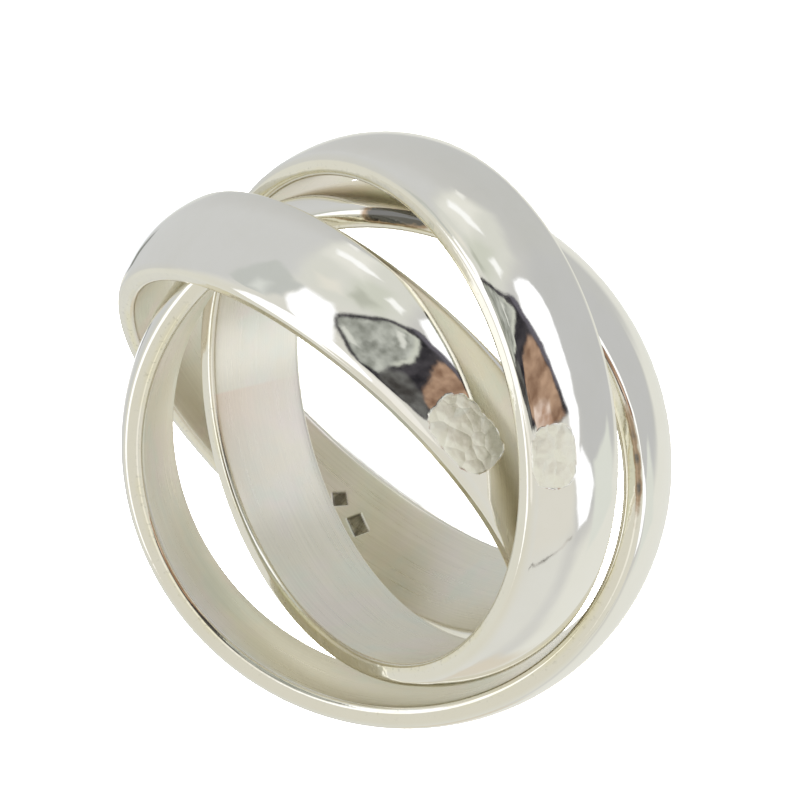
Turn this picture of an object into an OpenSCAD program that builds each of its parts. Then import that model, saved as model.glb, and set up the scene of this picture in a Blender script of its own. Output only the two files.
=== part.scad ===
// Triple band ring: three equal D-section silver bands, each linked through the other two.
// The ring lies on its side on a table, with the way for the finger straight up.
// Every band leans its own way and stands on the low side of its rim.

/* [Band section] */
// Inside diameter of every band
band_bore = 19; // [18.6:0.2:22]
// Width of every band, along its own axis
band_width = 4.4; // [3.6:0.1:4.4]
// Thickness of a band at the crown of its rounded outside
crown_thickness = 1.3; // [1.1:0.05:1.3]
// Thickness that the rounded outside would have at the very rim, before the rim is rounded
edge_thickness = 0.78; // [0.7:0.02:0.8]
// Radius that softens all four corners of the section
edge_round = 0.25; // [0.1:0.05:0.3]

/* [Stamped band] */
// Lean of the stamped band's axis from straight up
stamped_lean = 21.9; // [21.9:0.1:22.3]
// Compass bearing that the stamped band's axis leans towards, counted from +X
stamped_bearing = 106.1; // [105.5:0.1:106.5]
// Place of the stamped band's centre along X
stamped_x = 1.02; // [1.0:0.01:1.06]
// Place of the stamped band's centre along Y
stamped_y = 1.52; // [1.48:0.01:1.55]

/* [Middle band] */
// Lean of the middle band's axis from straight up
middle_lean = 22.2; // [21.9:0.1:22.5]
// Compass bearing that the middle band's axis leans towards, counted from +X
middle_bearing = 3.3; // [3.0:0.1:3.8]
// Place of the middle band's centre along X
middle_x = 0.08; // [0.05:0.01:0.12]
// Place of the middle band's centre along Y
middle_y = -1.13; // [-1.15:0.01:-1.1]

/* [Outer band] */
// Lean of the outer band's axis from straight up
outer_lean = 27.8; // [27.6:0.1:28]
// Compass bearing that the outer band's axis leans towards, counted from +X
outer_bearing = -92.9; // [-93.3:0.1:-92.5]
// Place of the outer band's centre along X
outer_x = -0.98; // [-1.02:0.01:-0.96]
// Place of the outer band's centre along Y
outer_y = 0.13; // [0.1:0.01:0.15]

/* [Punch marks] */
// Depth of the two plain punch marks in the stamped band's inside face
mark_depth = 0.15; // [0.05:0.01:0.2]
// Side of the small diamond mark
diamond_side = 0.6; // [0.4:0.05:0.8]
// Place of the diamond mark round the band
diamond_angle = -3.2; // [-6:0.1:-2.5]
// Place of the diamond mark across the band
diamond_across = -0.38; // [-0.8:0.01:0.8]
// Length of the bar mark round the band
bar_length = 0.9; // [0.5:0.05:1.2]
// Breadth of the bar mark across the band
bar_breadth = 0.65; // [0.4:0.05:0.9]
// Place of the bar mark round the band
bar_angle = 4.4; // [4:0.1:12]
// Place of the bar mark across the band
bar_across = 0.02; // [-0.6:0.01:0.6]
// Turn of the bar mark about its own middle
bar_turn = 28; // [-45:1:45]

/* [Hidden] */

// Silver, a little warm
silver = [0.88, 0.87, 0.83];
// Facets of the preview round a band
$fn = 180;
// Steps of each round stretch of the section
crown_steps = 16;
corner_steps = 4;

bore_r = band_bore / 2;
half_width = band_width / 2;

// The crown is one arc that passes through the crown and both rims of the unrounded section
crown_rise = crown_thickness - edge_thickness;
crown_r = (half_width * half_width + crown_rise * crown_rise) / (2 * crown_rise);
crown_centre = bore_r + crown_thickness - crown_r;

// Centres of the corner arcs, measured from the band's axis and from its middle plane
corner_across = half_width - edge_round;
inner_corner_r = bore_r + edge_round;
outer_corner_reach = sqrt(pow(crown_r - edge_round, 2) - pow(corner_across, 2));
outer_corner_r = crown_centre + outer_corner_reach;
// Direction in which the crown arc runs over into the corner arc
crown_end = atan2(corner_across, outer_corner_reach);

// Points of an arc from one direction to another, with that many points left out at each end
function arc(centre_r, centre_across, radius, from, to, steps, skip = 0) = [
    for (i = [skip : steps - skip])
        let (a = from + (to - from) * i / steps)
        [centre_r + radius * cos(a), centre_across + radius * sin(a)]
];

// Rounded D section of a band: flat inside, domed outside
module band_section() {
    polygon(concat(
        arc(inner_corner_r, -corner_across, edge_round, 180, 270, corner_steps),
        arc(outer_corner_r, -corner_across, edge_round, 270, 360 - crown_end, corner_steps),
        arc(crown_centre, 0, crown_r, -crown_end, crown_end, crown_steps, skip = 1),
        arc(outer_corner_r, corner_across, edge_round, crown_end, 90, corner_steps),
        arc(inner_corner_r, corner_across, edge_round, 90, 180, corner_steps)
    ));
}

// One plain band about +Z, with its middle plane at z = 0
module band() {
    rotate_extrude() band_section();
}

// Height of a leaning band's centre above the table when its rim just touches the table
function centre_height(lean) =
    outer_corner_r * sin(lean) + corner_across * cos(lean) + edge_round;

// Puts a band where it stands: leaned, turned to its bearing and moved to its place
module stand(lean, bearing, x, y) {
    translate([x, y, centre_height(lean)])
        rotate([0, lean, bearing])
            children();
}

// Tool that sinks one flat punch mark into the inside face
module punch(length, breadth, angle, across, turn) {
    rotate([0, 0, angle])
        translate([bore_r, 0, across])
            rotate([turn, 0, 0])
                cube([2 * mark_depth, length, breadth], center = true);
}

// The band with two plain punch marks on its inside face, clear of its rims
module stamped_band() {
    color(silver)
        stand(stamped_lean, stamped_bearing, stamped_x, stamped_y)
            difference() {
                band();
                punch(diamond_side, diamond_side, diamond_angle, diamond_across, 45);
                punch(bar_length, bar_breadth, bar_angle, bar_across, bar_turn);
            }
}

// The band between the other two
module middle_band() {
    color(silver)
        stand(middle_lean, middle_bearing, middle_x, middle_y)
            band();
}

// The band that runs round the outside of the others on the right and at the bottom
module outer_band() {
    color(silver)
        stand(outer_lean, outer_bearing, outer_x, outer_y)
            band();
}

stamped_band();
middle_band();
outer_band();
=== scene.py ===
import math
from collections import namedtuple

import bpy
import numpy as np
from mathutils import Euler, Matrix, Vector


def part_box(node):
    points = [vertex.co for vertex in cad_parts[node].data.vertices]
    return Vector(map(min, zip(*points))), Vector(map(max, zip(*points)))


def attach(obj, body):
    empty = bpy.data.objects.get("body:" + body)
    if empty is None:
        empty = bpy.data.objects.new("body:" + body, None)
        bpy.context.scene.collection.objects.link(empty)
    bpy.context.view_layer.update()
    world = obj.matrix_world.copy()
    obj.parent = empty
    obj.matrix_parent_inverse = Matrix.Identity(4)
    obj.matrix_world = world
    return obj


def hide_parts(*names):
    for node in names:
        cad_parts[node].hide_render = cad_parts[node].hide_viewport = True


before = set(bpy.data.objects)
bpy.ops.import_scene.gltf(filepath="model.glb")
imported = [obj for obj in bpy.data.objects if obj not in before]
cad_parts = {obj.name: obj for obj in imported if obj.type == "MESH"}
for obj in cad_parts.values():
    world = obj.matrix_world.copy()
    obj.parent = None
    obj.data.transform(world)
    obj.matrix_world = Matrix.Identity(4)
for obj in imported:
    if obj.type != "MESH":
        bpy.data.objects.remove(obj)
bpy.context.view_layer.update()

MM = 0.001

# Section of a band
BORE_R = 9.5
BAND_WIDTH = 4.4
CROWN_THICKNESS = 1.3
EDGE_THICKNESS = 0.78
CROWN_R = BORE_R + CROWN_THICKNESS
# The crown runs over a shoulder into the outer corner: where the shoulder starts, and the radii
SHOULDER_START = 1.8
SHOULDER_ROUND = 1.1
OUTER_ROUND = 0.3
INNER_ROUND = 0.25
# Share of the inner rounding over which the inside's finish gives way to the outside's
INSIDE_FADE = 0.4
# Share of inside from which a place is on the flat, which alone holds the marks
FLAT_INSIDE = 0.99

# Silver: freshly polished, a little worn, and dark in the marks
SILVER = (0.93, 0.915, 0.87)
HAZY_SILVER = (0.91, 0.895, 0.84)
CREAM_SILVER = (0.90, 0.865, 0.745)
BLUSH_SILVER = (0.91, 0.855, 0.78)
SAGE_SILVER = (0.86, 0.865, 0.765)
GOLDEN_SILVER = (0.91, 0.865, 0.66)
PINK_SILVER = (0.90, 0.79, 0.67)
FROSTED_SILVER = (1.0, 0.995, 0.90)
TARNISH = (0.10, 0.085, 0.055)
OLD_TARNISH = (0.36, 0.33, 0.24)
# Painted reflections put in the colour of the outer band's upper rim: a dark one and a copper one
PAINTED_DARK_REFLECTION = (0.17, 0.165, 0.15)
PAINTED_COPPER_REFLECTION = (0.47, 0.35, 0.24)

# Finish: roughness at the clearest and the haziest place, and what a matt patch adds
POLISHED_ROUGH = (0.03, 0.07)
SATIN_ROUGH = (0.25, 0.37)
SCUFF_ROUGH = 0.56
# Heights of the bumps
SWELL_HEIGHT = 0.005
DIMPLE_HEIGHT = 0.0015
HAZE_HEIGHT = 0.0002
CRUMPLE_HEIGHT = 0.055

# Gold of the rims: its heights of no gold and of full gold above the bore, its least and most share
# near the bore, and its share on the rest of a rim
GOLD_START = 0.55
GOLD_FULL = 0.2
GOLD_SHARES = (0.25, 0.9)
RIM_GOLD = 0.3
# The most tarnish in the gold's pits, in the inside's brushing and in the marks
PIT_SHARE = 0.28
BRUSHING_SHARE = 0.12
MARK_SHARE = 0.9

# Range that Blender's own noise seldom leaves
NOISE_ENDS = (0.25, 0.75)
# Grain of a noise: repeats per millimetre, layers of finer detail and their strength, and how it is
# squeezed along x, y and z
Grain = namedtuple("Grain", "scale detail rough squeeze", defaults=(2, 0.5, (1, 1, 1)))
PATINA_GRAIN = Grain(0.55, detail=4, rough=0.6)
BLUSH_GRAIN = Grain(0.30, detail=3, rough=0.6)
SAGE_GRAIN = Grain(0.38, detail=3, rough=0.6)
BRUSHED_GRAIN = Grain(1.0, detail=3, rough=0.65, squeeze=(0.16, 0.16, 13))
HAZE_GRAIN = Grain(3.5, detail=6, rough=0.7)
SPECKLE_GRAIN = Grain(5, detail=3, rough=0.6)
REFLECTION_BREAKUP_GRAIN = Grain(1.7, detail=4, rough=0.55)
MARK_GRAIN = Grain(3.2, detail=3, rough=0.6, squeeze=(1, 1, 0.4))
SCUFF_EDGE_GRAIN = Grain(2.2, detail=3)
SWELL_GRAIN = Grain(0.3)
DIMPLE_GRAIN = Grain(2.2)
CRUMPLE_GRAIN = Grain(1.5, detail=1.5)
# Steps aside that keep two noises unlike
SAGE_ASIDE = (31, 17, 5)
DRIFT_ASIDE = (7, 3, 5)

# How each band lies, in degrees. Its centre is the middle of its node's box in the frame.
Lie = namedtuple("Lie", "node lean bearing")
STAMPED = Lie("stamped_band", lean=21.9, bearing=106.1)
MIDDLE = Lie("middle_band", lean=22.2, bearing=3.3)
OUTER = Lie("outer_band", lean=27.8, bearing=-92.9)

# Plain punch marks in the stamped band's inside: an unturned one has its length round the band and
# its breadth across it. Angles round the bands and turns are in degrees.
Mark = namedtuple("Mark", "length breadth angle across turn")
MARKS = (
    Mark(length=0.6, breadth=0.6, angle=-3.2, across=-0.38, turn=45),
    Mark(length=0.9, breadth=0.65, angle=4.4, across=0.02, turn=28),
)
MARK_DEPTH = 0.15
MARK_WALL = 0.05

# Matt, faintly crumpled patches on the crowns: half their length round the band and across it
Scuff = namedtuple("Scuff", "node angle across half_length half_width")
SCUFFS = (
    Scuff("stamped_band", angle=148.4, across=0.95, half_length=1.65, half_width=1.0),
    Scuff("middle_band", angle=-127.2, across=1.2, half_length=1.25, half_width=0.85),
)
# How far noise pushes the patches' edge about, and the shares over which the edge blends
SCUFF_WAVE = 0.05
SCUFF_BLEND = (0.46, 0.54)
# Lobes of the crumpling: how many to a millimetre, their squeeze, their weight beside the noise, and
# the mean square of the distance from a lobe's middle with their spacing as 1
LOBE_SCALE = 1.3
LOBE_SQUEEZE = (1, 1, 1.3)
LOBE_WEIGHT = 2.4
LOBE_MEAN = 0.25

# Soldered seam in a band's inside: a pinkish stretch starts there and fades over its length in degrees.
# It has this strength at the middle of the band's width, climbs by so much a millimetre towards the
# upper rim, and is nowhere under the least.
Seam = namedtuple("Seam", "node angle length middle climb least")
SEAM = Seam("middle_band", angle=55, length=28, middle=0.55, climb=0.25, least=0.1)

# Painted reflections on the upper rims, copper and dark stretches put in the colour: half the length in
# degrees, and the strip's middle and half its breadth by the distance from the band's axis
PaintedReflection = namedtuple("PaintedReflection", "node angle half_length reach half_breadth strength")
PAINTED_REFLECTIONS = (
    PaintedReflection("outer_band", angle=44.5, half_length=6.5, reach=10.2, half_breadth=0.36, strength=1.5),
    PaintedReflection("outer_band", angle=-35, half_length=13, reach=10.13, half_breadth=0.12, strength=0.62),
)
# How far noise thins and thickens the painted reflections, and the strengths over which their two colours
# blend in
REFLECTION_BREAKUP = (0.5, 1.5)
THIN_BLEND = (0.15, 0.5)
THICK_BLEND = (0.45, 0.9)

# Mesh steps: round a band, over half its crown, round each corner arc, across its rim and its flat
RING_STEPS = 600
HALF_CROWN_STEPS = 15
CORNER_STEPS = 9
RIM_STEPS = 5
FLAT_STEPS = 14
# The marked band has more steps across its flat, and a finer step in degrees round its marks, from
# a little before them to a little after. This many steps make the rest of its turn.
FINE_FLAT_STEPS = 84
FINE_TURN = 0.12
FINE_BEFORE = 4
FINE_AFTER = 5
REST_STEPS = 395

# The photo's view
AIM = Vector((0.492, -1.677, 6.2))
VIEW_DISTANCE = 287.53
VIEW_ELEVATION = 40.763
VIEW_ROLL = 131.48
FOCAL_PIXELS = 7500
PICTURE_PIXELS = 800
SENSOR_WIDTH = 36
CLIP_START = 10
CLIP_END = 10000
# How often light may bounce between the polished bands
GLOSSY_BOUNCES = 12

# Floor
FLOOR_HALF = 3000
FLOOR_WHITES = ((0.93, 0.93, 0.925), (0.95, 0.95, 0.945))
FLOOR_ROUGH = 0.8
# Repeats per metre
FLOOR_GRAIN = Grain(900, detail=3)


def linear(value):
    """Display value from 0 to 255 as linear light."""
    share = value / 255
    if share <= 0.04045:
        return share / 12.92
    return ((share + 0.055) / 1.055) ** 2.4


def seen(red, green, blue, gain=1.0):
    """Light that a silver mirror shows at these display values."""
    return tuple(gain * linear(value) / tint for value, tint in zip((red, green, blue), SILVER))


# Node helpers


def add_node(tree, kind, **settings):
    made = tree.nodes.new(kind)
    for name, value in settings.items():
        setattr(made, name, value)
    return made


def feed(tree, socket, value):
    """Sets a socket to a value, or links it to an output."""
    if isinstance(value, bpy.types.NodeSocket):
        tree.links.new(value, socket)
    else:
        socket.default_value = value


def math_node(tree, operation, *values):
    made = add_node(tree, "ShaderNodeMath", operation=operation)
    for socket, value in zip(made.inputs, values):
        feed(tree, socket, value)
    return made.outputs[0]


def vector_math(tree, operation, *values, output="Vector"):
    made = add_node(tree, "ShaderNodeVectorMath", operation=operation)
    for socket, value in zip(made.inputs, values):
        feed(tree, socket, value)
    return made.outputs[output]


def mix_colour(tree, share, first, second):
    made = add_node(tree, "ShaderNodeMix", data_type="RGBA")
    feed(tree, made.inputs[0], share)
    for socket, value in ((made.inputs[6], first), (made.inputs[7], second)):
        feed(tree, socket, value if isinstance(value, bpy.types.NodeSocket) else (*value, 1))
    return made.outputs[2]


def span(tree, value, low, high, to_low=0.0, to_high=1.0, smooth=False):
    """Carries low to high over to to_low to to_high, and stays there beyond."""
    made = add_node(tree, "ShaderNodeMapRange")
    made.interpolation_type = "SMOOTHSTEP" if smooth else "LINEAR"
    for socket, number in zip(made.inputs, (value, low, high, to_low, to_high)):
        feed(tree, socket, number)
    return made.outputs[0]


def noise(tree, where, grain):
    """Noise from -1 to 1 about 0."""
    squeezed = vector_math(tree, "MULTIPLY", where, tuple(grain.scale * share for share in grain.squeeze))
    made = add_node(tree, "ShaderNodeTexNoise")
    feed(tree, made.inputs["Vector"], squeezed)
    made.inputs["Scale"].default_value = 1
    made.inputs["Detail"].default_value = grain.detail
    made.inputs["Roughness"].default_value = grain.rough
    return span(tree, made.outputs[0], *NOISE_ENDS, -1, 1)


def lobes(tree, where):
    """Rounded lobes with creases between them, about 0."""
    made = add_node(tree, "ShaderNodeTexVoronoi", feature="F1")
    feed(tree, made.inputs["Vector"], vector_math(tree, "MULTIPLY", where, LOBE_SQUEEZE))
    made.inputs["Scale"].default_value = LOBE_SCALE
    fall = math_node(tree, "MULTIPLY", made.outputs["Distance"], made.outputs["Distance"])
    return math_node(tree, "SUBTRACT", LOBE_MEAN, fall)


# Band meshes


def arc(centre, radius, start, end, steps):
    """Points of an arc in the section, from one direction to another in degrees."""
    turn = np.radians(np.linspace(start, end, steps + 1))
    return np.column_stack((centre[0] + radius * np.cos(turn), centre[1] + radius * np.sin(turn)))


def ahead(start, angle, distance):
    """Point at a distance from another one, in a direction in degrees."""
    turn = math.radians(angle)
    return start[0] + distance * math.cos(turn), start[1] + distance * math.sin(turn)


def band_section(flat_steps):
    """Loop of (distance from the axis, place across), and each point's share of inside and of rim."""
    half = BAND_WIDTH / 2
    rise = CROWN_THICKNESS - EDGE_THICKNESS
    crown_r = (half * half + rise * rise) / (2 * rise)
    crown_centre = (CROWN_R - crown_r, 0)
    crown_end = math.degrees(math.asin(SHOULDER_START / crown_r))
    shoulder_centre = ahead(crown_centre, crown_end, crown_r - SHOULDER_ROUND)
    climb = (half - OUTER_ROUND - shoulder_centre[1]) / (SHOULDER_ROUND - OUTER_ROUND)
    shoulder_end = math.degrees(math.asin(climb))
    outer_centre = ahead(shoulder_centre, shoulder_end, SHOULDER_ROUND - OUTER_ROUND)
    inner_centre = (BORE_R + INNER_ROUND, half - INNER_ROUND)

    crown = arc(crown_centre, crown_r, 0, crown_end, HALF_CROWN_STEPS)
    shoulder = arc(shoulder_centre, SHOULDER_ROUND, crown_end, shoulder_end, CORNER_STEPS)[1:]
    outer_corner = arc(outer_centre, OUTER_ROUND, shoulder_end, 90, CORNER_STEPS)[1:]
    inner_corner = arc(inner_centre, INNER_ROUND, 90, 180, CORNER_STEPS)
    rim_face = np.linspace(outer_corner[-1], inner_corner[0], RIM_STEPS + 1)[1:-1]
    upper = np.vstack((crown, shoulder, outer_corner, rim_face, inner_corner))
    flat_across = np.linspace(inner_centre[1], -inner_centre[1], flat_steps + 1)[1:-1]
    flat = np.column_stack((np.full(flat_steps - 1, BORE_R), flat_across))
    lower = upper[:0:-1] * (1, -1)
    loop = np.vstack((upper, flat, lower))
    inside = np.clip(1 - (loop[:, 0] - BORE_R) / (INSIDE_FADE * INNER_ROUND), 0, 1)
    near_rim = np.clip((np.abs(loop[:, 1]) - inner_centre[1]) / INNER_ROUND, 0, 1)
    return loop, inside, near_rim


def ring_angles(fine):
    """Angles round a band in degrees, closer together where the marks are."""
    if not fine:
        return np.arange(RING_STEPS) * 360 / RING_STEPS
    first = min(mark.angle for mark in MARKS) - FINE_BEFORE
    last = max(mark.angle for mark in MARKS) + FINE_AFTER
    close = np.arange(first, last, FINE_TURN)
    rest = np.linspace(last, first + 360, REST_STEPS + 1)
    return np.concatenate((close, rest[:-1]))


def away(angles, middle):
    """Degrees from a place round the band, from -180 to 180."""
    return (angles - middle + 180) % 360 - 180


def soft_share(distance):
    """1 up to a distance of a half, a half at 1, which is the edge of a patch, and 0 from 1.5 on."""
    return np.clip(1.5 - distance, 0, 1)


def sunk(angles, across):
    """Share of the marks' depth at each place of the inside, from 0 to 1."""
    deep = np.zeros(angles.shape)
    for mark in MARKS:
        along = BORE_R * np.radians(angles - mark.angle)
        aside = across - mark.across
        turn = math.radians(mark.turn)
        x = np.abs(along * math.cos(turn) + aside * math.sin(turn)) - mark.length / 2
        y = np.abs(aside * math.cos(turn) - along * math.sin(turn)) - mark.breadth / 2
        wall = np.clip(-np.maximum(x, y) / MARK_WALL, 0, 1)
        deep = np.maximum(deep, wall * wall * (3 - 2 * wall))
    return deep


def scuffed(node, angles, across):
    """1 in the middle of a band's matt patches, which are rounded oblongs, and a half at their edge."""
    share = np.zeros(angles.shape)
    for scuff in SCUFFS:
        if scuff.node != node:
            continue
        along = CROWN_R * np.radians(away(angles, scuff.angle))
        x = np.abs(along / scuff.half_length) ** 3
        y = np.abs((across - scuff.across) / scuff.half_width) ** 3
        share = np.maximum(share, soft_share(np.cbrt(x + y)))
    return share


def blushed(node, angles, across):
    """Share of pink: most at a band's soldered seam and upper rim, none at the stretch's far end."""
    if node != SEAM.node:
        return np.zeros(angles.shape)
    on = (angles - SEAM.angle) / SEAM.length
    upper = np.clip(SEAM.middle + SEAM.climb * across, SEAM.least, 1)
    return np.where((on >= 0) & (on < 1), 1 - on, 0) * upper


def painted_reflection_share(node, angles, across, reach):
    """Painted reflection on a band's upper rim: a stretch's strength in its middle, and half of it at its
    edge.
    """
    share = np.zeros(angles.shape)
    for painted_reflection in PAINTED_REFLECTIONS:
        if painted_reflection.node != node:
            continue
        along = np.abs(away(angles, painted_reflection.angle)) / painted_reflection.half_length
        aside = np.abs(reach - painted_reflection.reach) / painted_reflection.half_breadth
        share = np.maximum(share, painted_reflection.strength * soft_share(along) * soft_share(aside))
    return share * (across > BAND_WIDTH / 2 - OUTER_ROUND / 2)


def placing(lie):
    """Matrix that takes a band from its own frame to where it lies, in millimetres."""
    low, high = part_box(lie.node)
    centre = (low + high) / 2 / MM
    turn = Euler((0, math.radians(lie.lean), math.radians(lie.bearing)), "XYZ").to_matrix().to_4x4()
    return Matrix.Translation(centre) @ turn


def grid_faces(rings, points):
    """Quads between neighbouring rings and points, closed both ways."""
    ring, point = np.meshgrid(np.arange(rings), np.arange(points), indexing="ij")
    next_ring = (ring + 1) % rings
    next_point = (point + 1) % points
    corners = ((ring, point), (next_ring, point), (next_ring, next_point), (ring, next_point))
    return np.stack([row * points + column for row, column in corners], -1).reshape(-1, 4)


def add_attribute(mesh, name, kind, values):
    made = mesh.attributes.new(name, kind, "POINT")
    key = "vector" if kind == "FLOAT_VECTOR" else "value"
    made.data.foreach_set(key, np.asarray(values, np.float32).ravel())


def band_shape(lie, marked):
    """A band's places in its own frame, its quads, and each place's shares of the material's finishes."""
    loop, inside, near_rim = band_section(FINE_FLAT_STEPS if marked else FLAT_STEPS)
    angles = ring_angles(marked)
    rings, points = len(angles), len(loop)
    angle, reach = np.meshgrid(angles, loop[:, 0], indexing="ij")
    across = np.broadcast_to(loop[:, 1], (rings, points))
    inner = np.broadcast_to(inside, (rings, points))
    deep = np.zeros((rings, points))
    if marked:
        deep = sunk(away(angle, 0), across) * (inner > FLAT_INSIDE)
    reach = reach + MARK_DEPTH * deep
    turn = np.radians(angle)
    own = np.stack((reach * np.cos(turn), reach * np.sin(turn), across), -1).reshape(-1, 3)
    shares = {
        "inside": inner,
        "rim": np.broadcast_to(near_rim, (rings, points)),
        "sunk": deep,
        "scuff": scuffed(lie.node, angle, across) * (1 - inner),
        "blush": blushed(lie.node, angle, across) * inner,
        # Share of the painted copper and dark reflections on the upper rim
        "painted_reflection": painted_reflection_share(lie.node, angle, across, reach) * (1 - inner),
    }
    return own, grid_faces(rings, points), shares


def band(name, lie, material, marked=False):
    """One silver band, which keeps its own frame's places and the shares for the material."""
    own, faces, shares = band_shape(lie, marked)
    matrix = np.array(placing(lie))
    world = (own @ matrix[:3, :3].T + matrix[:3, 3]) * MM
    mesh = bpy.data.meshes.new(name)
    mesh.from_pydata(world.tolist(), [], faces.tolist())
    mesh.polygons.foreach_set("use_smooth", np.ones(len(mesh.polygons), bool))
    add_attribute(mesh, "place", "FLOAT_VECTOR", own)
    for finish, share in shares.items():
        add_attribute(mesh, finish, "FLOAT", share)
    mesh.materials.append(material)
    mesh.update()
    piece = bpy.data.objects.new(name, mesh)
    bpy.context.scene.collection.objects.link(piece)
    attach(piece, lie.node)
    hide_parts(lie.node)


# Materials


def attribute(tree, name, output="Fac"):
    return add_node(tree, "ShaderNodeAttribute", attribute_name=name).outputs[output]


def bump(tree, height, distance, under=None):
    made = add_node(tree, "ShaderNodeBump")
    made.inputs["Distance"].default_value = distance * MM
    made.inputs["Strength"].default_value = 1
    feed(tree, made.inputs["Height"], height)
    if under is not None:
        feed(tree, made.inputs["Normal"], under)
    return made.outputs[0]


def scuff_share(tree, place):
    """1 on the matt patches and 0 beside them, with a slightly wavy edge."""
    wave = noise(tree, place, SCUFF_EDGE_GRAIN)
    edge = math_node(tree, "MULTIPLY_ADD", wave, SCUFF_WAVE, attribute(tree, "scuff"))
    return span(tree, edge, *SCUFF_BLEND, smooth=True)


def outer_colour(tree, place, scuff):
    """Polished silver with patina, golden pitted rims, painted reflections on the upper rims and matt
    patches.
    """
    rim = attribute(tree, "rim")
    flat_place = vector_math(tree, "MULTIPLY", place, (1, 1, 0))
    reach = vector_math(tree, "LENGTH", flat_place, output="Value")
    near_bore = span(tree, reach, BORE_R + GOLD_START, BORE_R + GOLD_FULL)
    low_rim = math_node(tree, "MULTIPLY", rim, near_bore)
    patina = noise(tree, place, PATINA_GRAIN)
    blush = noise(tree, place, BLUSH_GRAIN)
    speckle = noise(tree, place, SPECKLE_GRAIN)
    reflection_breakup = noise(tree, place, REFLECTION_BREAKUP_GRAIN)

    colour = mix_colour(tree, span(tree, patina, -0.4, 1.0), SILVER, HAZY_SILVER)
    golden = math_node(tree, "MULTIPLY", low_rim, span(tree, blush, -0.3, 0.5, *GOLD_SHARES))
    tinted = math_node(tree, "MAXIMUM", golden, math_node(tree, "MULTIPLY", rim, RIM_GOLD))
    colour = mix_colour(tree, tinted, colour, GOLDEN_SILVER)
    pits = math_node(tree, "MULTIPLY", golden, span(tree, speckle, 0.25, 0.7, 0, PIT_SHARE))
    colour = mix_colour(tree, pits, colour, TARNISH)
    # Painted copper and dark reflections on the upper rim, thinned and thickened by noise
    painted_reflection = math_node(tree, "MULTIPLY", attribute(tree, "painted_reflection"), span(tree, reflection_breakup, -1, 1, *REFLECTION_BREAKUP))
    colour = mix_colour(tree, span(tree, painted_reflection, *THIN_BLEND, smooth=True), colour, PAINTED_COPPER_REFLECTION)
    colour = mix_colour(tree, span(tree, painted_reflection, *THICK_BLEND, smooth=True), colour, PAINTED_DARK_REFLECTION)
    return mix_colour(tree, scuff, colour, FROSTED_SILVER)


def inner_colour(tree, place):
    """Satin silver in cream, blush and sage, with the pinkish stretch and fine dark brushing."""
    blush = noise(tree, place, BLUSH_GRAIN)
    sage = noise(tree, vector_math(tree, "ADD", place, SAGE_ASIDE), SAGE_GRAIN)
    brushed = noise(tree, place, BRUSHED_GRAIN)
    colour = mix_colour(tree, span(tree, blush, -0.1, 0.5), CREAM_SILVER, BLUSH_SILVER)
    colour = mix_colour(tree, span(tree, sage, 0, 0.6), colour, SAGE_SILVER)
    colour = mix_colour(tree, attribute(tree, "blush"), colour, PINK_SILVER)
    return mix_colour(tree, span(tree, brushed, -1, 1, BRUSHING_SHARE, 0), colour, TARNISH)


def roughness(tree, place, scuff):
    """Glossy outside, satin inside and matt patches."""
    polished = span(tree, noise(tree, place, HAZE_GRAIN), -1, 1, *POLISHED_ROUGH)
    satin = span(tree, noise(tree, place, BRUSHED_GRAIN), -1, 1, *SATIN_ROUGH)
    satin_more = math_node(tree, "SUBTRACT", satin, polished)
    more = math_node(tree, "MULTIPLY", attribute(tree, "inside"), satin_more)
    rough = math_node(tree, "ADD", polished, more)
    return math_node(tree, "MULTIPLY_ADD", scuff, SCUFF_ROUGH, rough)


def bumps(tree, place, scuff):
    """Slight swell, dimples in the rims, haze outside and crumpling in the matt patches."""
    dimple = math_node(tree, "MULTIPLY", noise(tree, place, DIMPLE_GRAIN), attribute(tree, "rim"))
    outside = math_node(tree, "SUBTRACT", 1.0, attribute(tree, "inside"))
    haze = math_node(tree, "MULTIPLY", noise(tree, place, HAZE_GRAIN), outside)
    wrinkle = noise(tree, place, CRUMPLE_GRAIN)
    crumple = math_node(tree, "MULTIPLY_ADD", lobes(tree, place), LOBE_WEIGHT, wrinkle)
    crumple = math_node(tree, "MULTIPLY", crumple, scuff)
    normal = bump(tree, noise(tree, place, SWELL_GRAIN), SWELL_HEIGHT)
    normal = bump(tree, dimple, DIMPLE_HEIGHT, under=normal)
    normal = bump(tree, haze, HAZE_HEIGHT, under=normal)
    return bump(tree, crumple, CRUMPLE_HEIGHT, under=normal)


def band_silver():
    """Sterling silver: a polished outside with a fine haze, a satin inside brushed round the band."""
    material = bpy.data.materials.new("band_silver")
    material.use_nodes = True
    tree = material.node_tree
    shader = tree.nodes["Principled BSDF"]
    place = attribute(tree, "place", "Vector")
    scuff = scuff_share(tree, place)
    outer = outer_colour(tree, place, scuff)
    inner = inner_colour(tree, place)
    colour = mix_colour(tree, attribute(tree, "inside"), outer, inner)
    mark_grain = noise(tree, place, MARK_GRAIN)
    mark_colour = mix_colour(tree, span(tree, mark_grain, -0.3, 0.6), TARNISH, OLD_TARNISH)
    mark_share = span(tree, attribute(tree, "sunk"), 0.3, 1.0, 0, MARK_SHARE)
    feed(tree, shader.inputs["Base Color"], mix_colour(tree, mark_share, colour, mark_colour))
    feed(tree, shader.inputs["Roughness"], roughness(tree, place, scuff))
    feed(tree, shader.inputs["Normal"], bumps(tree, place, scuff))
    shader.inputs["Metallic"].default_value = 1
    return material


def floor_white():
    """Pale matt floor with a barely seen grain."""
    material = bpy.data.materials.new("floor_white")
    material.use_nodes = True
    tree = material.node_tree
    shader = tree.nodes["Principled BSDF"]
    where = add_node(tree, "ShaderNodeTexCoord").outputs["Object"]
    grain = noise(tree, where, FLOOR_GRAIN)
    feed(tree, shader.inputs["Base Color"], mix_colour(tree, span(tree, grain, -1, 1), *FLOOR_WHITES))
    shader.inputs["Roughness"].default_value = FLOOR_ROUGH
    return material


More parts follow.
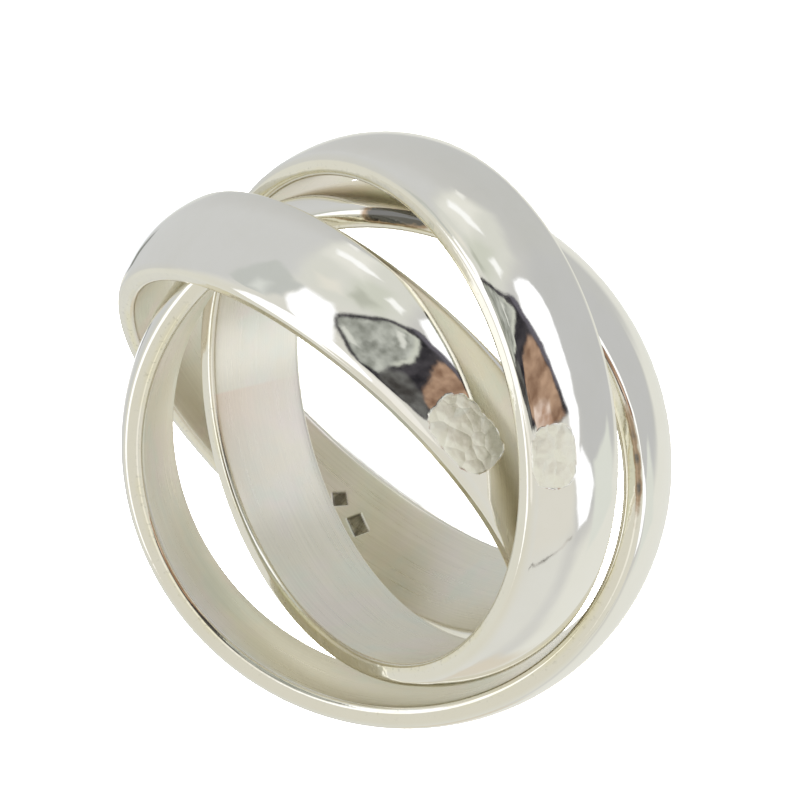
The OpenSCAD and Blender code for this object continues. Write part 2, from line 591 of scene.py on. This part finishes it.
# Studio: what the silver mirrors, by direction from the ring, in degrees.
# Azimuth 0 is the photo's side and grows to its right, and elevation is above the horizon.
# A panel is convex. Its edge blends over this many degrees each way, and some tones are mottled
# with another one.

Panel = namedtuple("Panel", "corners edge tone other", defaults=(None,))
WHITE = seen(255, 255, 255, gain=1.12)

PANELS = (
    # Pale room to the left and behind, and the room's greyer right
    Panel(((-205, -10), (-95, -14), (-88, -40), (-95, -78), (-205, -78)), 8, seen(224, 223, 212)),
    Panel(((62, -34), (60, 8), (100, 26), (150, 12), (172, -20), (165, -40)), 8, seen(203, 203, 199)),
    Panel(((-88, 27), (-45, 34), (-42, -8), (-82, -8)), 5, seen(217, 214, 202)),
    Panel(((-158, -12), (-148, 2), (-136, -6), (-141, -24)), 4, seen(212, 204, 186)),
    # Shade under the bench
    Panel(((-78, -14), (8, -30), (16, -58), (-10, -80), (-84, -80), (-88, -36)), 7, seen(191, 191, 188)),
    # Bright sky, windows and the sky's dimmer top
    Panel(((-62, 52), (60, 50), (165, 46), (170, 76), (-62, 76)), 3, seen(238, 235, 226)),
    Panel(((6, 50), (36, 46), (62, 27), (100, 36), (160, 31), (168, 74), (6, 74)), 2, WHITE),
    Panel(((36, 54), (39.5, 22), (43, 15), (56, 14), (66, 28), (60, 54)), 2, WHITE),
    # White bench edge
    Panel(((-69, -29), (-100, -25), (-104, -45), (-72, -50)), 2, seen(217, 219, 209)),
    Panel(((-60, -9), (-83, -12.5), (-85, -20), (-76, -27.5), (-68, -26), (-57, -19)), 1.2, WHITE),
    Panel(((-62, -10), (4, -11), (14, -20), (9, -31), (-4, -34), (-16, -30), (-58, -20)), 1.2, WHITE),
    # Grey and cream things on the right
    Panel(((56, 14), (68, 27), (90, 27), (95, 16), (72, 2)), 1.8, seen(191, 193, 187)),
    Panel(((73, 19), (79, 26), (85, 23), (78, 17)), 3, seen(215, 217, 210)),
    Panel(((16, -4), (24, 4), (40, 14), (60, 10), (62, -34), (40, -48), (18, -34)), 5, seen(214, 214, 204)),
    Panel(((22, 0), (38, 4), (40, -18), (28, -24), (24, -12)), 5, seen(204, 206, 192)),
    Panel(((38, -16), (57, -20), (59, -40), (42, -40)), 5, seen(228, 227, 217)),
    Panel(((41, 4), (50, 7), (54, -2), (45, -4)), 3, seen(226, 223, 211)),
    Panel(((28, -6), (31, 4), (38, 2), (37, -8)), 2.5, seen(184, 186, 172)),
    Panel(((56, -30.5), (54, -26), (40, -25), (35, -28), (40, -30)), 1.2, seen(253, 253, 249)),
    Panel(((51, -38), (57, -39), (59, -43), (53, -42.5)), 1.2, seen(238, 237, 230)),
    Panel(((20, -13), (27, -14), (26, -19), (21, -18.5)), 1.2, seen(251, 251, 246)),
    # Dark reflection and white one far behind
    Panel(((160, -24), (176, -26), (200, -30), (206, -44), (190, -48), (170, -42)), 3, seen(236, 233, 217)),
    Panel(((158, -29), (171, -31), (174, -42), (164, -44)), 1.5, seen(252, 252, 250)),
    Panel(
        ((151, -30.6), (151, -32.4), (158.5, -32.2), (160.5, -27), (158, -26.5)),
        0.8,
        seen(132, 133, 126),
    ),
    # Thin broken crack on the left
    Panel(((-94, 28), (-93, 28), (-83.5, -8), (-84.5, -8)), 0.4, seen(70, 66, 60), seen(210, 206, 196)),
    # Dark board: its black body, its slate top, a grey-green middle with pale strokes and a copper end
    Panel(
        (
            (-39, -11), (-36, 2), (-30, 24), (-25, 38), (-12, 45), (5, 47), (20, 46.5),
            (30, 41), (38, 32), (39, 22), (31, 11), (21, -1), (12, -9), (9, -11),
        ),
        1.2,
        seen(34, 33, 36),
        seen(74, 71, 74),
    ),
    Panel(
        ((-26, 36), (-14, 42.5), (6, 44), (9, 34), (0, 26), (-18, 27)),
        2,
        seen(60, 57, 54),
        seen(116, 116, 112),
    ),
    Panel(((2, 12), (4.5, 26), (10, 32), (22, 12), (15, -3), (8, -4)), 1, seen(204, 206, 192)),
    Panel(
        (
            (4.5, 11), (6, 26), (9, 40), (19, 44.5), (29, 38),
            (36, 31), (37, 24), (28, 12), (18, 0), (10, -3),
        ),
        1.2,
        seen(120, 122, 113),
        seen(196, 198, 188),
    ),
    Panel(((22, 35), (27, 37), (35, 31), (34, 27)), 1, seen(212, 213, 203)),
    Panel(((9, 10), (11, 11), (15, 2), (12.5, 0.5)), 0.8, seen(216, 217, 207)),
    Panel(
        ((-38, -8), (-35, 4), (-29, 22), (-23, 29), (-14, 28), (-8, 19), (-6, 8), (-3, -2), (-6, -7)),
        1.2,
        seen(120, 92, 72),
        seen(190, 158, 132),
    ),
    Panel(
        ((-37, 4), (-33, 19), (-27, 22), (-25, 10), (-30, 2)),
        2,
        seen(160, 120, 92),
        seen(246, 230, 216),
    ),
    Panel(((-26, -8.5), (8, -6.5), (13, -8), (9, -11), (-30, -11)), 1, seen(98, 95, 102)),
)

# Tones between the panels: the one straight down, and the elevations over which each next one blends in
UNDER = seen(192, 192, 187)
Layer = namedtuple("Layer", "start full tone")
LAYERS = (
    Layer(start=-60, full=-25, tone=seen(200, 199, 194)),
    Layer(start=-12, full=0, tone=seen(217, 216, 207)),
    Layer(start=10, full=70, tone=seen(214, 211, 199)),
)
ROOM_LIGHT = 8

# How far noise pushes the panels' edges about, in degrees
DRIFT = 1.6
FINE_DRIFT = 0.5
# Grain of that noise and of the mottling, in repeats over the ball of directions
DRIFT_GRAIN = Grain(4, detail=1)
FINE_DRIFT_GRAIN = Grain(11, detail=1)
MOTTLE_GRAIN = Grain(7, detail=5, rough=0.62, squeeze=(1.6, 1, 0.5))
MOTTLE_BLEND = (-0.9, 0.9)


def panel_share(tree, azimuth, elevation, panel):
    """1 inside a panel of the studio, 0 outside, soft at its edge."""
    corners = [Vector(corner) for corner in panel.corners]
    middle = sum(corners, Vector((0, 0))) / len(corners)
    corners.sort(key=lambda corner: math.atan2(*(corner - middle).yx))
    where = add_node(tree, "ShaderNodeCombineXYZ")
    aside = math_node(tree, "SUBTRACT", azimuth, middle.x)
    feed(tree, where.inputs[0], math_node(tree, "WRAP", aside, 180, -180))
    feed(tree, where.inputs[1], math_node(tree, "SUBTRACT", elevation, middle.y))
    where.inputs[2].default_value = 1
    # Depth in the panel is the least distance in degrees from any of its edges
    depth = None
    for start, end in zip(corners, corners[1:] + corners[:1]):
        inward = (end - start).orthogonal().normalized()
        plane = (inward.x, inward.y, -inward.dot(start - middle))
        edge_depth = vector_math(tree, "DOT_PRODUCT", where.outputs[0], plane, output="Value")
        depth = edge_depth if depth is None else math_node(tree, "MINIMUM", depth, edge_depth)
    return span(tree, depth, -panel.edge, panel.edge, smooth=True)


def directions(tree, direction):
    """Azimuth and elevation of a direction, in degrees."""
    apart = add_node(tree, "ShaderNodeSeparateXYZ")
    feed(tree, apart.inputs[0], direction)
    x, y, z = apart.outputs
    towards_photo = math_node(tree, "MULTIPLY", y, -1)
    azimuth = math_node(tree, "DEGREES", math_node(tree, "ARCTAN2", x, towards_photo))
    return azimuth, math_node(tree, "DEGREES", math_node(tree, "ARCSINE", z))


def studio_tone(tree):
    """Colour of the studio in each direction."""
    direction = add_node(tree, "ShaderNodeTexCoord").outputs["Generated"]
    azimuth, elevation = directions(tree, direction)
    tone = UNDER
    for layer in LAYERS:
        tone = mix_colour(tree, span(tree, elevation, layer.start, layer.full), tone, layer.tone)

    broad = noise(tree, direction, DRIFT_GRAIN)
    other_broad = noise(tree, vector_math(tree, "ADD", direction, DRIFT_ASIDE), DRIFT_GRAIN)
    fine = math_node(tree, "MULTIPLY", noise(tree, direction, FINE_DRIFT_GRAIN), FINE_DRIFT)
    azimuth = math_node(tree, "ADD", azimuth, math_node(tree, "MULTIPLY_ADD", broad, DRIFT, fine))
    elevation_drift = math_node(tree, "MULTIPLY_ADD", other_broad, DRIFT, fine)
    elevation = math_node(tree, "ADD", elevation, elevation_drift)
    mottle = span(tree, noise(tree, direction, MOTTLE_GRAIN), *MOTTLE_BLEND, smooth=True)
    for panel in PANELS:
        own = panel.tone if panel.other is None else mix_colour(tree, mottle, panel.tone, panel.other)
        tone = mix_colour(tree, panel_share(tree, azimuth, elevation, panel), tone, own)
    return tone


def studio():
    """Plain bright light for the floor, and the studio's tones for what the silver mirrors."""
    world = bpy.data.worlds.new("studio")
    world.use_nodes = True
    world.cycles.sampling_method = "NONE"
    tree = world.node_tree
    room = tree.nodes["Background"]
    room.inputs["Color"].default_value = (ROOM_LIGHT, ROOM_LIGHT, ROOM_LIGHT, 1)
    mirrored = add_node(tree, "ShaderNodeBackground")
    feed(tree, mirrored.inputs["Color"], studio_tone(tree))
    both = add_node(tree, "ShaderNodeMixShader")
    feed(tree, both.inputs[0], add_node(tree, "ShaderNodeLightPath").outputs["Is Glossy Ray"])
    feed(tree, both.inputs[1], room.outputs[0])
    feed(tree, both.inputs[2], mirrored.outputs[0])
    feed(tree, tree.nodes["World Output"].inputs["Surface"], both.outputs[0])
    bpy.context.scene.world = world


def floor():
    """Wide white floor that the ring lies on and that the silver doesn't mirror."""
    half = FLOOR_HALF * MM
    corners = [(-half, -half, 0), (half, -half, 0), (half, half, 0), (-half, half, 0)]
    mesh = bpy.data.meshes.new("floor")
    mesh.from_pydata(corners, [], [(0, 1, 2, 3)])
    mesh.materials.append(floor_white())
    piece = bpy.data.objects.new("floor", mesh)
    bpy.context.scene.collection.objects.link(piece)
    piece.visible_glossy = False


def camera():
    """Looks at the ring from the photo's side, rolled as the photo is."""
    elevation = math.radians(VIEW_ELEVATION)
    back = Vector((0, -math.cos(elevation), math.sin(elevation)))
    level_up = Vector((0, math.sin(elevation), math.cos(elevation)))
    level_right = Vector((1, 0, 0))
    roll = math.radians(VIEW_ROLL)
    up = math.cos(roll) * level_up + math.sin(roll) * level_right
    right = up.cross(back)
    data = bpy.data.cameras.new("camera")
    data.sensor_width = SENSOR_WIDTH
    data.lens = SENSOR_WIDTH * FOCAL_PIXELS / PICTURE_PIXELS
    data.clip_start = CLIP_START * MM
    data.clip_end = CLIP_END * MM
    eye = bpy.data.objects.new("camera", data)
    turn = Matrix((right, up, back)).transposed().to_4x4()
    eye.matrix_world = Matrix.Translation((AIM + back * VIEW_DISTANCE) * MM) @ turn
    bpy.context.scene.collection.objects.link(eye)
    bpy.context.scene.camera = eye


def main():
    scene = bpy.context.scene
    scene.view_settings.view_transform = "Standard"
    scene.view_settings.look = "None"
    scene.cycles.glossy_bounces = GLOSSY_BOUNCES
    silver = band_silver()
    band("band_stamped", STAMPED, silver, marked=True)
    band("band_middle", MIDDLE, silver)
    band("band_outer", OUTER, silver)
    floor()
    studio()
    camera()


main()
